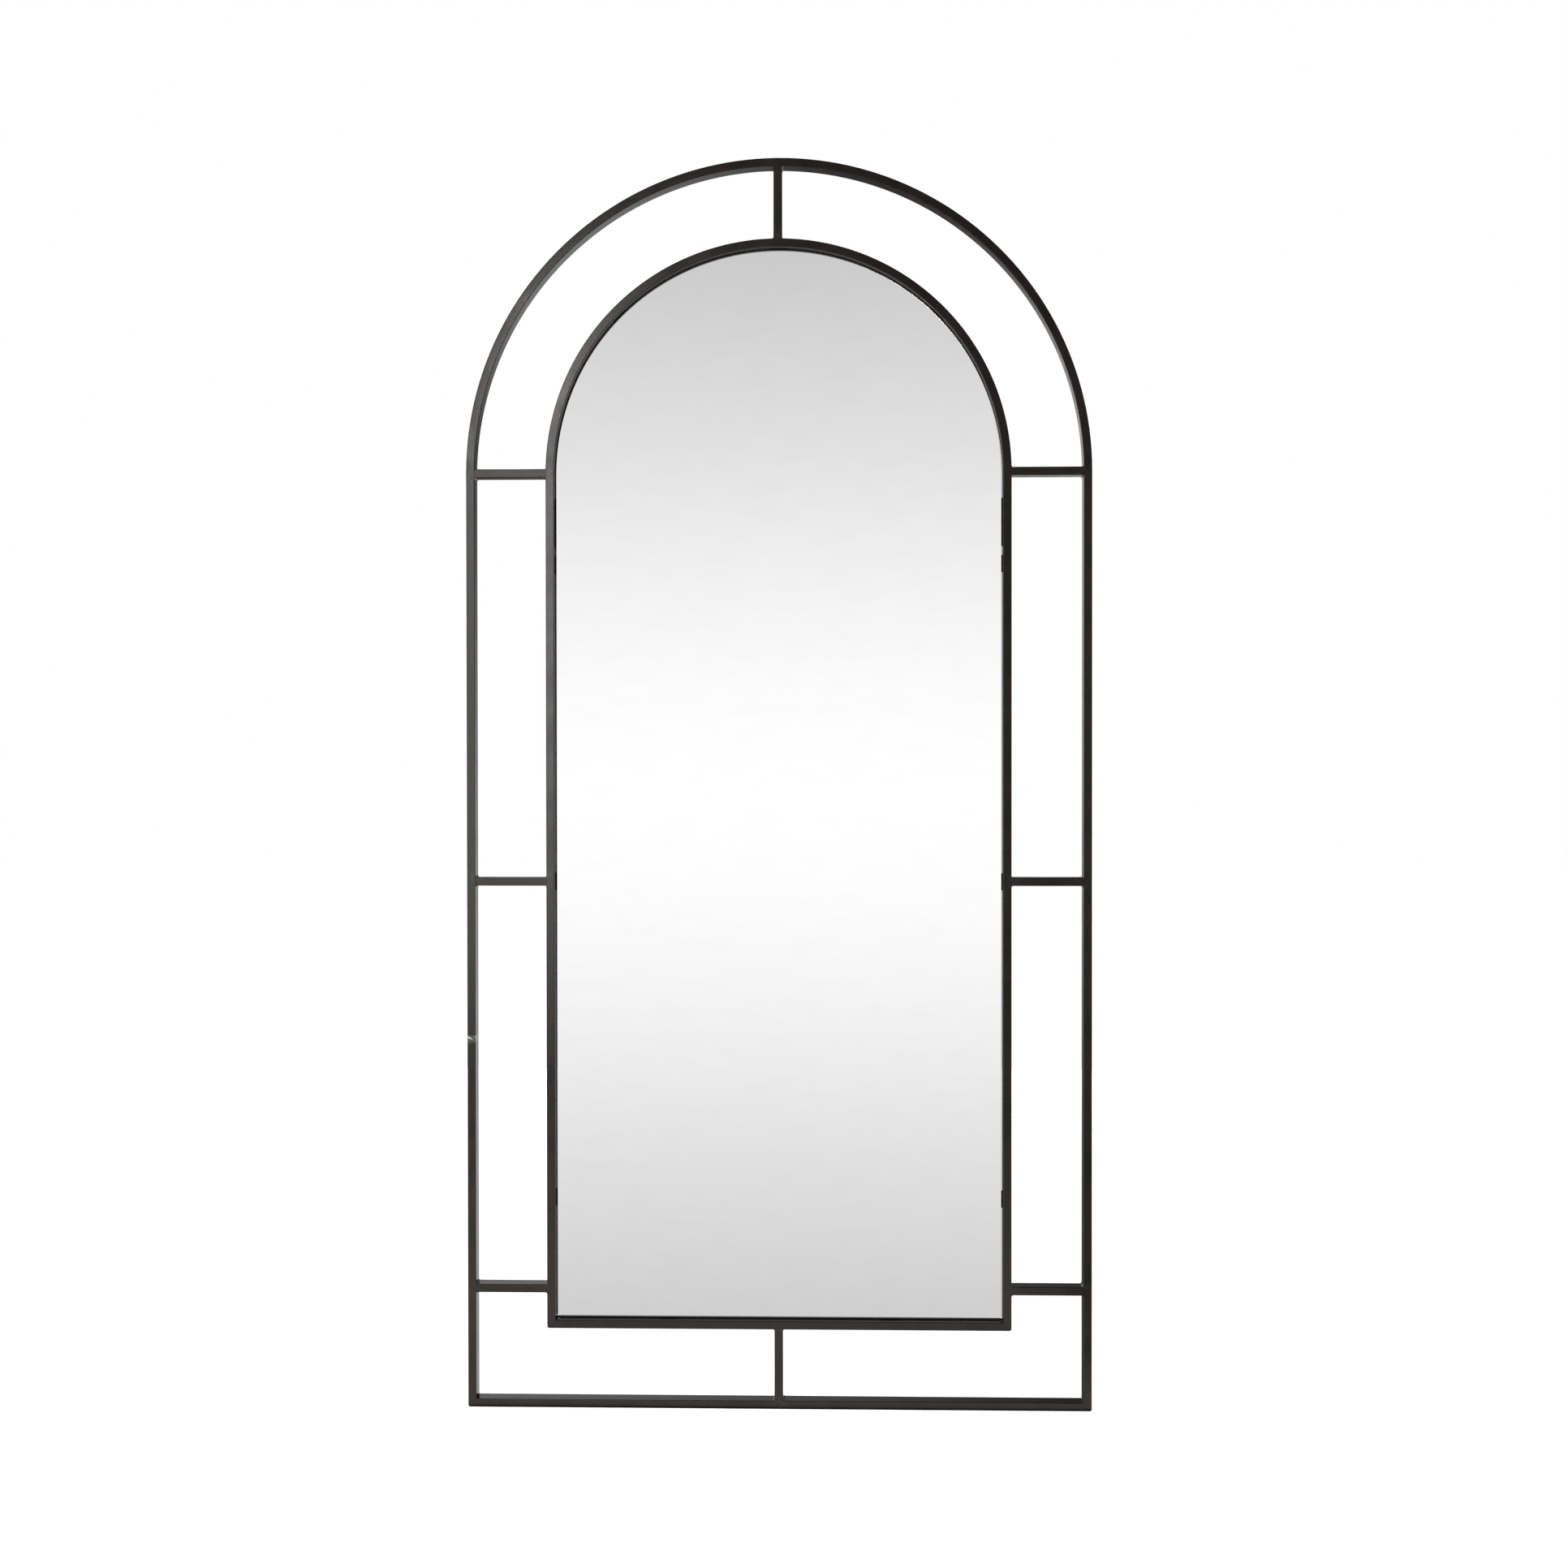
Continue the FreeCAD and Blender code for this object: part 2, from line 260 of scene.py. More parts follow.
def frameMembers(name, outside, foot):
    # the members are cut from the whole frame, square at the arch and mitred at the foot
    whole = wholeFrame(f"{name}_frame", outside, foot)
    arch = copyOf(whole, f"{name}_arch_tube")
    trim(arch, (0, 0, spring), (0, 0, -1))
    members = {f"{name}_arch": arch}
    for word, side in (("left", -1), ("right", 1)):
        corner = (side * outside, 0, foot)
        stile = copyOf(whole, f"{name}_{word}_stile_tube")
        trim(stile, (0, 0, spring), (0, 0, 1))
        trim(stile, (0, 0, 0), (-side, 0, 0))
        trim(stile, corner, (-side, 0, -1))
        members[f"{name}_{word}_stile"] = stile
    rail = copyOf(whole, f"{name}_bottom_rail_tube")
    for side in (-1, 1):
        trim(rail, (side * outside, 0, foot), (side, 0, 1))
    members[f"{name}_bottom_rail"] = rail
    bpy.data.objects.remove(whole)
    glassFront = (0, mirror["frontFace"], 0)    # scored round each member, so that a finish can change there
    for node, piece in members.items():
        edit(piece)
        bpy.ops.mesh.select_all(action="SELECT")
        bpy.ops.mesh.bisect(plane_co=glassFront, plane_no=(0, 1, 0), threshold=closeness["plane"])
        bpy.ops.object.mode_set(mode="OBJECT")
        smooth(piece)
        put(piece, "frame", "frame_paint", node)
    return list(members.values())


# ---- the spacers

spacers = {
    "lap": 0.9 * mm,           # weld that fills the frame's rolled corner at each end
    "flareSteps": 6,
    "depthCuts": 9,
    "unevenness": 0.28 * mm,
    "lump": 3.5 * mm,
    "sideRoom": 0.1 * mm,
    "smoothDegrees": 50,
    # name: (level?, its height or its X, start, end, leg of the weld at the start and at the end)
    "places": {
        "upper_left": (True, 1350, -438, -335, 3.0, 1.4),
        "upper_right": (True, 1350, 335, 438, 2.0, 2.2),
        "middle_left": (True, 761.25, -438, -335, 2.6, 1.8),
        "middle_right": (True, 761.25, 335, 438, 2.2, 2.4),
        "lower_left": (True, 172.5, -438, -335, 2.2, 2.4),
        "lower_right": (True, 172.5, 335, 438, 2.5, 2.8),
        "top": (False, 0, 1685, 1787.95, 2.2, 2.5),
        "bottom": (False, 0, 12, 115, 2.4, 2.2),
    },
}


def flare(leg, steps):
    # how far out of the corner, and how far up it, for a hollow fillet
    for step in range(steps + 1):
        turn = math.radians(90 * step / steps)
        yield leg * (1 - math.cos(turn)), leg * (1 - math.sin(turn))


def grow(width, newWidth):
    ratio = newWidth / width
    bpy.ops.transform.resize(value=(ratio, 1, 1), center_override=(0, 0, 0))
    return newWidth


def spacer(name, level, other, start, end, startLeg, endLeg):
    # upright from z = 0, its ends widened into their welds; a level one is laid down after
    face, lap, steps = tube["face"], spacers["lap"], spacers["flareSteps"]
    length = (end - start) * mm
    piece = newPiece(
        f"spacer_{name}_tube",
        bpy.ops.mesh.primitive_plane_add,
        place=(0, 0, length / 2),
        scale=(face, tube["depth"], 1),
        size=1,
    )
    edit(piece)
    pick("verts", lambda vert: True)
    bpy.ops.mesh.bevel(
        offset=tube["corner"], segments=tube["cornerSteps"], affect="VERTICES", clamp_overlap=False
    )
    pick("edges", lambda edge: runsAlong(edge, 1))
    bpy.ops.mesh.subdivide(number_cuts=spacers["depthCuts"])
    for way, leg in ((1, endLeg * mm), (-1, startLeg * mm)):
        pick("faces", lambda face: near(middle(face).z, length / 2))
        stations = list(reversed(list(flare(leg, steps))))
        pull(z=way * (length / 2 - stations[0][0]))
        width, reach = face, stations[0][0]
        for away, climb in stations[1:]:
            pull(z=way * (reach - away))
            width = grow(width, face + 2 * climb)
            reach = away
        pull(z=way * lap)
    closeUp()
    addUnevenness(piece, length, startLeg * mm, endLeg * mm)
    if level:
        move(piece, (start * mm, 0, other * mm), (0, math.pi / 2, 0))
    else:
        move(piece, (other * mm, 0, start * mm))
    smooth(piece, spacers["smoothDegrees"])
    return put(piece, "frame", "frame_paint", f"spacer_{name}")


def addUnevenness(piece, length, startLeg, endLeg):
    # hand-dressed welds aren't quite even
    group = piece.vertex_groups.new(name="welds")
    for vert in piece.data.vertices:
        onSide = abs(vert.co.x) > tube["face"] / 2 - spacers["sideRoom"]
        nearStart = vert.co.z < startLeg
        nearEnd = vert.co.z > length - endLeg
        if onSide and (nearStart or nearEnd):
            group.add([vert.index], 1.0, "REPLACE")
    lumps = bpy.data.textures.new(f"{piece.name}_lumps", "CLOUDS")
    lumps.noise_scale = spacers["lump"]
    applyModifier(
        piece,
        "DISPLACE",
        texture=lumps,
        texture_coords="LOCAL",
        vertex_group="welds",
        strength=2 * spacers["unevenness"],
        mid_level=0.5,
    )


# ---- the mirror panel

mirror = {
    "halfWidth": 321.5 * mm,
    "foot": 128.5 * mm,
    "frontFace": 1 * mm,
    "thickness": 4 * mm,
    "arris": 0.5 * mm,
    "nippedCorner": 3 * mm,
    "headSteps": 256,
    "smoothDegrees": 20,
    "straightDegrees": 0.1,    # points on a straight edge are dissolved
}


def mirrorPane():
    # a filled circle, cut at the spring line and drawn down to the foot
    pane = newPiece(
        "mirror_pane",
        bpy.ops.mesh.primitive_circle_add,
        place=(0, mirror["frontFace"], spring),
        turn=upright,
        vertices=mirror["headSteps"],
        radius=mirror["halfWidth"],
        fill_type="NGON",
    )
    edit(pane)
    bpy.ops.mesh.select_all(action="SELECT")
    bpy.ops.mesh.bisect(
        plane_co=(0, 0, spring), plane_no=(0, 0, -1), clear_outer=True, threshold=closeness["plane"]
    )
    pick("edges", lambda edge: runsAlong(edge, 0) and near(middle(edge).z, spring))
    pull(z=mirror["foot"] - spring)
    pick("verts", lambda vert: near(vert.co.z, mirror["foot"]))
    bpy.ops.mesh.bevel(offset=mirror["nippedCorner"], segments=1, affect="VERTICES")
    bpy.ops.mesh.select_all(action="SELECT")
    bpy.ops.mesh.dissolve_limited(angle_limit=math.radians(mirror["straightDegrees"]))
    bpy.ops.mesh.select_all(action="SELECT")
    pull(y=mirror["thickness"])
    bpy.ops.mesh.select_all(action="SELECT")
    bpy.ops.mesh.normals_make_consistent(inside=False)
    pick("edges", isRim)
    bpy.ops.mesh.bevel(offset=mirror["arris"], segments=1, affect="EDGES")
    closeUp()
    smooth(pane, mirror["smoothDegrees"])
    return put(pane, "frame", "mirror", "mirror_glass")


# ---- screws

screws = {
    "headSides": 32,
    "headRadius": 3.25 * mm,
    "headHeight": 2 * mm,
    "straightSide": 0.9 * mm,
    "domeDegrees": 70,
    "domeSteps": 5,
    "domeInset": 1.7 * mm,
    "recess": (3.4 * mm, 0.8 * mm, 1.2 * mm),    # across, wide, deep
    "shankSides": 16,
    "shankRadius": 1.5 * mm,
    "pointShare": 0.3,         # of the shank's width
    "tip": 7.2 * mm,           # how far back the tip lies
    "tabSeat": 12.5 * mm,
    "strapSeat": 13.5 * mm,
    "smoothDegrees": 30,
    "turnSeed": 11,
}
tabs = {
    "halfOpening": 323 * mm,
    "holeInset": 8 * mm,
    "stileHeights": (300 * mm, 760 * mm, 1220 * mm),
    "archAngles": (45, 90, 135),
    "railOffset": 160 * mm,
    "foot": 127 * mm,
}


def screwHead():
    # a pan head along Y, its seat at y = 0, with a cross recess
    head = newPiece(
        "screw",
        bpy.ops.mesh.primitive_circle_add,
        turn=upright,
        vertices=screws["headSides"],
        radius=screws["headRadius"],
        fill_type="NGON",
    )
    edit(head)
    bpy.ops.mesh.select_all(action="SELECT")
    pull(y=screws["straightSide"])
    width, rise = screws["headRadius"], 0.0
    fullTurn = math.radians(screws["domeDegrees"])
    for step in range(1, screws["domeSteps"] + 1):
        turn = fullTurn * step / screws["domeSteps"]
        newRise = (screws["headHeight"] - screws["straightSide"]) * math.sin(turn) / math.sin(fullTurn)
        inset = screws["domeInset"] * (1 - math.cos(turn)) / (1 - math.cos(fullTurn))
        newWidth = screws["headRadius"] - inset
        pull(y=newRise - rise)
        ratio = newWidth / width
        bpy.ops.transform.resize(value=(ratio, 1, ratio), center_override=(0, 0, 0))
        width, rise = newWidth, newRise
    closeUp()
    across, wide, deep = screws["recess"]
    for size in ((across, 2 * deep, wide), (wide, 2 * deep, across)):
        cutter = newPiece(
            "recess",
            bpy.ops.mesh.primitive_cube_add,
            place=(0, screws["headHeight"], 0),
            scale=size,
            size=1,
        )
        cutAway(head, cutter)
    return head


def screwShank(length):
    # runs forward from the seat to a point
    shank = newPiece(
        "shank",
        bpy.ops.mesh.primitive_cylinder_add,
        place=(0, -length / 2, 0),
        turn=upright,
        vertices=screws["shankSides"],
        radius=screws["shankRadius"],
        depth=length,
    )
    edit(shank)
    pick("faces", lambda face: near(middle(face).y, -length))
    point = screws["pointShare"]
    bpy.ops.transform.resize(value=(point, 1, point), center_override=(0, 0, 0))
    closeUp()
    return shank


def screwSet(name, seat, places, node):
    # one screw, copied to each place and turned as it happened to be driven
    first = join([screwHead(), screwShank(seat - screws["tip"])], name)
    smooth(first, screws["smoothDegrees"])
    turns = random.Random(screws["turnSeed"])
    copies = []
    for x, z in places:
        twin = copyOf(first, "screw")
        move(twin, (x, seat, z), (0, turns.uniform(0, math.pi / 2), 0))
        copies.append(twin)
    bpy.data.objects.remove(first)
    return put(join(copies, name), "frame", "zinc", node)


def tabScrewPlaces():
    reach = tabs["halfOpening"] - tabs["holeInset"]
    for height in tabs["stileHeights"]:
        for side in (-1, 1):
            yield side * reach, height
    for degrees in tabs["archAngles"]:
        turn = math.radians(degrees)
        yield reach * math.cos(turn), spring + reach * math.sin(turn)
    for side in (-1, 1):
        yield side * tabs["railOffset"], tabs["foot"] + tabs["holeInset"]


# ---- the hangers

hanger = {
    "reach": 305 * mm,         # from the middle of the mirror
    "axisHeight": 1300 * mm,
    "axisBack": 15.3 * mm,
    "strapWidth": 14 * mm,
    "strapLength": 45 * mm,
    "strapThickness": 1 * mm,
    "strapBack": 12.5 * mm,
    "eyeDegrees": 290,
    "eyeSteps": 40,
    "footSteps": 12,
    "holeSides": 32,
    "holeRadius": 1.75 * mm,
    "holeCut": 6 * mm,         # deep enough to go right through
    "holeDrops": (26 * mm, 38 * mm),
    "softEdge": 0.15 * mm,
    "softDegrees": 50,
    "smoothDegrees": 30,
    "wireRadius": 1.5 * mm,
    "wireSides": 20,
    "wireSmoothDegrees": 60,
    "barHalf": 8 * mm,
    "bendRadius": 4 * mm,
    "bendSteps": 8,
    "legLength": 2 * mm,
    "bowSteps": 32,
}


def hangerStrap(word, side):
    # a strip rolled into an eye round the ring's bar, and full round at its foot
    axis = Vector((side * hanger["reach"], hanger["axisBack"], hanger["axisHeight"]))
    half = hanger["strapWidth"] / 2
    strap = newPiece(
        f"hanger_strap_{word}_rolled",
        bpy.ops.mesh.primitive_plane_add,
        place=(axis.x, hanger["strapBack"] + hanger["strapThickness"] / 2, axis.z),
        scale=(hanger["strapWidth"], hanger["strapThickness"], 1),
        size=1,
    )
    edit(strap)
    bpy.ops.mesh.select_all(action="SELECT")
    swing(hanger["eyeDegrees"], hanger["eyeSteps"], axis, (1, 0, 0))
    pick("faces", lambda face: near(middle(face).z, axis.z) and abs(face.normal.z) > 0.99
         and middle(face).y < axis.y)
    pull(z=-hanger["strapLength"])
    pick("edges", lambda edge: runsAlong(edge, 1) and near(middle(edge).z, axis.z - hanger["strapLength"]))
    bpy.ops.mesh.bevel(
        offset=half * 0.999, segments=hanger["footSteps"], affect="EDGES", clamp_overlap=False
    )
    closeUp()
    applyModifier(
        strap,
        "BEVEL",
        width=hanger["softEdge"],
        segments=2,
        limit_method="ANGLE",
        angle_limit=math.radians(hanger["softDegrees"]),
    )
    for drop in hanger["holeDrops"]:
        cutter = newPiece(
            "hole",
            bpy.ops.mesh.primitive_cylinder_add,
            place=(axis.x, hanger["strapBack"], axis.z - drop),
            turn=upright,
            vertices=hanger["holeSides"],
            radius=hanger["holeRadius"],
            depth=hanger["holeCut"],
        )
        cutAway(strap, cutter)
    smooth(strap, hanger["smoothDegrees"])
    return put(strap, "frame", "zinc", f"hanger_strap_{word}")


def hangerRing(word, side):
    # wire bent into a D, hanging down from its straight bar
    axis = Vector((side * hanger["reach"], hanger["axisBack"], hanger["axisHeight"]))
    bar, bend, leg = (hanger[key] for key in ("barHalf", "bendRadius", "legLength"))
    ring = newPiece(
        f"hanger_ring_{word}_wire",
        bpy.ops.mesh.primitive_circle_add,
        place=(axis.x, axis.y, axis.z),
        turn=(0, math.pi / 2, 0),
        vertices=hanger["wireSides"],
        radius=hanger["wireRadius"],
        fill_type="NGON",
    )
    edit(ring)
    bpy.ops.mesh.select_all(action="SELECT")
    low = axis.z - bend
    pull(x=bar)
    swing(90, hanger["bendSteps"], (axis.x + bar, axis.y, low), (0, -1, 0))
    pull(z=-leg)
    swing(180, hanger["bowSteps"], (axis.x, axis.y, low - leg), (0, -1, 0))
    pull(z=leg)
    swing(90, hanger["bendSteps"], (axis.x - bar, axis.y, low), (0, -1, 0))
    pull(x=bar)
    bpy.ops.mesh.delete(type="FACE")
    pick("faces", lambda face: near(middle(face).x, axis.x) and abs(face.normal.x) > 0.99)
    bpy.ops.mesh.delete(type="FACE")
    closeUp()
    smooth(ring, hanger["wireSmoothDegrees"])
    return put(ring, f"{word}_ring", "zinc", f"hanger_ring_{word}")


def hangerScrewPlaces():
    for side in (-1, 1):
        for drop in hanger["holeDrops"]:
            yield side * hanger["reach"], hanger["axisHeight"] - drop


# ---- the wall bumpers

bumpers = {
    "sides": 48,
    "radius": 5 * mm,
    "height": 6 * mm,
    "rounding": 1.2 * mm,
    "roundingSteps": 5,
    "rim": 1.2 * mm,
    "dish": (0.5 * mm, 0.3 * mm),    # the slope's width, and how deep
    "reach": 444 * mm,
    "heights": {"lower": 40 * mm, "upper": 1290 * mm},
}


def bumper(name, x, z):
    # a rubber stud, rounded at its rim and slightly dished
    stud = newPiece(
        f"{name}_stud",
        bpy.ops.mesh.primitive_cylinder_add,
        place=(x, back + bumpers["height"] / 2, z),
        turn=upright,
        vertices=bumpers["sides"],
        radius=bumpers["radius"],
        depth=bumpers["height"],
    )
    edit(stud)
    top = back + bumpers["height"]
    pick("edges", lambda edge: near(edge.verts[0].co.y, top) and near(edge.verts[1].co.y, top))
    bpy.ops.mesh.bevel(offset=bumpers["rounding"], segments=bumpers["roundingSteps"], affect="EDGES")
    pick("faces", lambda face: near(middle(face).y, top) and len(face.verts) > 8)
    bpy.ops.mesh.inset(thickness=bumpers["rim"])
    slope, deep = bumpers["dish"]
    bpy.ops.mesh.inset(thickness=slope, depth=-deep)
    closeUp()
    smooth(stud)
    return put(stud, "frame", "bumper", name)


# ---- materials


class Value:
    # a socket that plain arithmetic works on
    def __init__(self, paint, socket):
        self.paint = paint
        self.socket = socket

    def math(self, operation, other, swapped=False):
        sides = (other, self) if swapped else (self, other)
        return self.paint.node("Math", {"operation": operation}, {0: sides[0], 1: sides[1]})

    def __add__(self, other):
        return self.math("ADD", other)

    def __radd__(self, other):
        return self.math("ADD", other, True)

    def __sub__(self, other):
        return self.math("SUBTRACT", other)

    def __rsub__(self, other):
        return self.math("SUBTRACT", other, True)

    def __mul__(self, other):
        return self.math("MULTIPLY", other)

    def __rmul__(self, other):
        return self.math("MULTIPLY", other, True)


class Paint:
    # a material with one shader, and its nodes made by name
    def __init__(self, name):
        self.material = bpy.data.materials.new(name)
        self.material.use_nodes = True
        self.tree = self.material.node_tree
        self.shader = self.tree.nodes["Principled BSDF"]
        place = self.tree.nodes.new("ShaderNodeTexCoord")
        self.place = Value(self, place.outputs["Object"])
        self.x, self.y, self.z = (self.node("SeparateXYZ", {}, {0: self.place}, axis) for axis in range(3))

    def fill(self, socket, value):
        if isinstance(value, Value):
            self.tree.links.new(value.socket, socket)
        else:
            socket.default_value = value

    def node(self, kind, settings, sockets, output=0):
        made = self.tree.nodes.new(f"ShaderNode{kind}")
        for key, value in settings.items():
            if key == "stops":
                setStops(made.color_ramp, value)
            else:
                setattr(made, key, value)
        for key, value in sockets.items():
            self.fill(made.inputs[key], value)
        return Value(self, made.outputs[output] if made.outputs else None)

    def noise(self, size, detail=2.0, place=None, roughness=0.5):
        # size is the width of a patch, in metres
        sockets = {"Vector": place or self.place, "Scale": 1 / size, "Detail": detail, "Roughness": roughness}
        return self.node("TexNoise", {}, sockets)

    def stretched(self, x, y, z):
        return self.node("VectorMath", {"operation": "MULTIPLY"}, {0: self.place, 1: (x, y, z)})

    def soft(self, value, low, high):
        # 0 below low, 1 above high, smooth between
        settings = {"interpolation_type": "SMOOTHSTEP"}
        return self.node("MapRange", settings, {"Value": value, "From Min": low, "From Max": high})

    def least(self, one, other):
        return one.math("MINIMUM", other)

    def most(self, one, other):
        return one.math("MAXIMUM", other)

    def size(self, value):
        return value.math("ABSOLUTE", 0.0)

    def mix(self, factor, one, other):
        sockets = {0: factor, 6: one, 7: other}
        return self.node("Mix", {"data_type": "RGBA"}, sockets, 2)

    def bump(self, height, strength=1.0):
        # height in metres
        return self.node("Bump", {}, {"Height": height, "Strength": strength, "Distance": 1.0})

    def finish(self, **sockets):
        names = {
            "colour": "Base Color",
            "specular": "Specular IOR Level",
            "specularTint": "Specular Tint",
            "glow": "Emission Color",
            "glowStrength": "Emission Strength",
        }
        for key, value in sockets.items():
            self.fill(self.shader.inputs[names.get(key, key.title())], value)
        return self.material


def setStops(ramp, stops):
    while len(ramp.elements) > 1:
        ramp.elements.remove(ramp.elements[-1])
    for number, (position, colour) in enumerate(stops):
        stop = ramp.elements[0] if number == 0 else ramp.elements.new(position)
        stop.position = position
        stop.color = colour


def rgb(red, green, blue):
    # from the 0 to 255 that a colour picker shows
    def linear(value):
        value /= 255
        return value / 12.92 if value <= 0.04045 else ((value + 0.055) / 1.055) ** 2.4

    return linear(red), linear(green), linear(blue), 1.0


paintLook = {
    "roughness": 0.24,
    "spacerRoughness": 0.29,   # touched up by hand after welding
    "specular": 0.10,
    "specularTint": (1.0, 0.985, 0.93, 1.0),
    # broad clouds in the coat
    "cloud": 40 * mm,
    "dark": rgb(18, 15, 12),
    "light": rgb(26, 21, 18),
    "cloudSheen": 0.14,
    "cloudHeight": 0.02 * mm,
    # orange peel
    "peel": 1.3 * mm,
    "peelSheen": 0.06,
    "peelHeight": 0.0022 * mm,
    # specks
    "speck": 2.2 * mm,
    "speckShare": 0.35,
    "worn": rgb(40, 36, 32),
    # wiping marks
    "wipe": 9 * mm,
    "smudge": rgb(52, 50, 47),
    "smudgeShare": 0.75,
    "smudgeSheen": 0.08,
    "dulled": rgb(84, 84, 76),
    "bare": rgb(168, 168, 160),
}

weldLook = {
    "reach": 17 * mm,          # how far along the tube a joint was dressed
    "full": 0.35,              # the share of the reach that is all weld
    "fade": 1.3,               # and where it ends on the frames
    "rows": (1350 * mm, 761.25 * mm, 172.5 * mm),
    "columns": (440 * mm, 333 * mm),
    "ends": (8 * mm, 117 * mm, 1683 * mm, 1790 * mm),    # of the top and bottom spacers
    "grain": 7 * mm,
    "lump": 0.06 * mm,
    "smear": 0.22,
}

handledLook = {
    # where the outer frame was held, above the upper left weld
    "place": (-446 * mm, 1395 * mm),
    "along": (12 * mm, 38 * mm),
    "across": (3 * mm, 9 * mm),
    "share": 0.7,
}

scuffLook = {
    # one knock on the outer left stile
    "height": 533.5 * mm,
    "rag": 4 * mm,             # the ragged edge's grain, and how far it strays
    "stray": 5 * mm,
    "tall": (4.2 * mm, 6.2 * mm),
    "middle": -444 * mm,
    "wide": (5.5 * mm, 7 * mm),
    "strokeAt": (-445 * mm, 1.5 * mm),
    "strokeSlope": 0.55,
    "strokeWander": 2 * mm,
    "wanderGrain": 3 * mm,
    "strokeWidth": (0.5 * mm, 1.6 * mm),
    "strokeEnd": -438 * mm,
    "strokeFade": (2 * mm, 9 * mm),    # how far from its end it grows to its full strength
    "bareFrom": (-438.4 * mm, -438.1 * mm),    # round the corner, on the stile's inner side
    "sheen": 0.15,
    "depth": 0.05 * mm,
}


def weldMask(paint):
    # 1 at the welded joints, fading out along the tube
    look = weldLook
    full, reach = look["full"] * look["reach"], look["reach"]
    fade = look["fade"] * reach
    across = paint.size(paint.x)

    def around(value, places, end):
        whole = None
        for place in places:
            one = 1 - paint.soft(paint.size(value - place), full, end)
            whole = one if whole is None else paint.most(whole, one)
        return whole

    rows = around(paint.z, look["rows"], reach)
    sides = rows * around(across, look["columns"], fade)
    column = 1 - paint.soft(across, full, reach)
    return paint.most(sides, column * around(paint.z, look["ends"], fade))


def scuffMask(paint):
    # a dulled patch, a stroke across it, bare round its corner
    look = scuffLook
    up = paint.z - look["height"]
    ragged = (paint.noise(look["rag"], 3.0) - 0.5) * look["stray"]
    patch = 1 - paint.soft(paint.size(up) + ragged, *look["tall"])
    patch = patch * (1 - paint.soft(paint.size(paint.x - look["middle"]), *look["wide"]))
    strokeX, strokeRise = look["strokeAt"]
    wander = paint.noise(look["wanderGrain"]) * look["strokeWander"]
    stripe = paint.size(up + (paint.x - strokeX) * look["strokeSlope"] + wander - strokeRise)
    stroke = (1 - paint.soft(stripe, *look["strokeWidth"])) * patch
    stroke = stroke * paint.soft(look["strokeEnd"] - paint.x, *look["strokeFade"])
    bared = patch * paint.soft(paint.x, *look["bareFrom"])
    return patch, paint.most(stroke, bared)


def handledMask(paint):
    x, z = handledLook["place"]
    up = 1 - paint.soft(paint.size(paint.z - z), *handledLook["along"])
    return up * (1 - paint.soft(paint.size(paint.x - x), *handledLook["across"]))


def framePaint(name, sheen):
    # dark bronze paint over mild steel: satin, a little orange peel, rubbed at the welds
    look = paintLook
    paint = Paint(name)
    clouds = paint.noise(look["cloud"], 3.0, roughness=0.6)
    peel = paint.noise(look["peel"], 2.0)
    welds = weldMask(paint)
    wiped = paint.soft(paint.noise(look["wipe"], 3.0, roughness=0.6), 0.42, 0.66)
    smear = wiped * welds * weldLook["smear"]
    handled = (wiped * 0.6 + 0.4) * handledMask(paint)
    speck = paint.soft(paint.noise(look["speck"], 3.0), 0.66, 0.74)
    scuffed, bared = scuffMask(paint)
    colour = paint.mix(paint.soft(clouds, 0.3, 0.7), look["dark"], look["light"])
    colour = paint.mix(speck * look["speckShare"], colour, look["worn"])
    colour = paint.mix(smear * look["smudgeShare"], colour, look["smudge"])
    colour = paint.mix(handled * handledLook["share"], colour, look["dulled"])
    colour = paint.mix(scuffed * (0.3 + wiped * 0.5), colour, look["dulled"])
    colour = paint.mix(bared, colour, look["bare"])
    roughness = sheen + (clouds - 0.5) * look["cloudSheen"] + smear * look["smudgeSheen"]
    roughness = roughness + scuffed * scuffLook["sheen"] + (peel - 0.5) * look["peelSheen"]
    lumps = paint.noise(weldLook["grain"], 1.0) * welds * weldLook["lump"]
    height = peel * look["peelHeight"] + lumps - scuffed * scuffLook["depth"] + clouds * look["cloudHeight"]
    return paint.finish(
        colour=colour,
        roughness=roughness,
        specular=look["specular"],
        specularTint=look["specularTint"],
        normal=paint.bump(height),
    )


dryAndLiftedLook = {
    "grain": 1.2 * mm,
    # lighter than the frame's own paint: painted light that lifts the shade in the slot
    "dark": rgb(52, 48, 44),
    "light": rgb(76, 72, 68),
    "roughness": 0.85,
    "room": 0.3 * mm,          # how far outside the opening a face may lie
}


def dryPaintWithLiftedShade():
    # what reached the slot behind the glass: thin, dull and unpolished; its colour is lightened as painted
    # light, lifting the shade in the slot
    look = dryAndLiftedLook
    paint = Paint("dryPaintWithLiftedShade")
    dust = paint.noise(look["grain"], 3.0)
    colour = paint.mix(dust, look["dark"], look["light"])
    return paint.finish(colour=colour, roughness=look["roughness"] + dust * 0.1, specular=0.0)


def coverSlot(piece, finish):
    # the faces round the opening, from the glass back
    piece.data.materials.append(finish)
    room = dryAndLiftedLook["room"]
    for face in piece.data.polygons:
        centre = face.center
        away = math.hypot(centre.x, max(centre.z - spring, 0.0))
        inOpening = away < tabs["halfOpening"] + room and centre.z > tabs["foot"] - room
        if inOpening and centre.y > mirror["frontFace"]:
            face.material_index = 1


silverLook = {
    "clean": rgb(250, 250, 250),
    "haze": rgb(248, 248, 248),
    "wipe": 60 * mm,
    "roughness": 0.004,
    "hazeRoughness": 0.006,    # on top of it
}


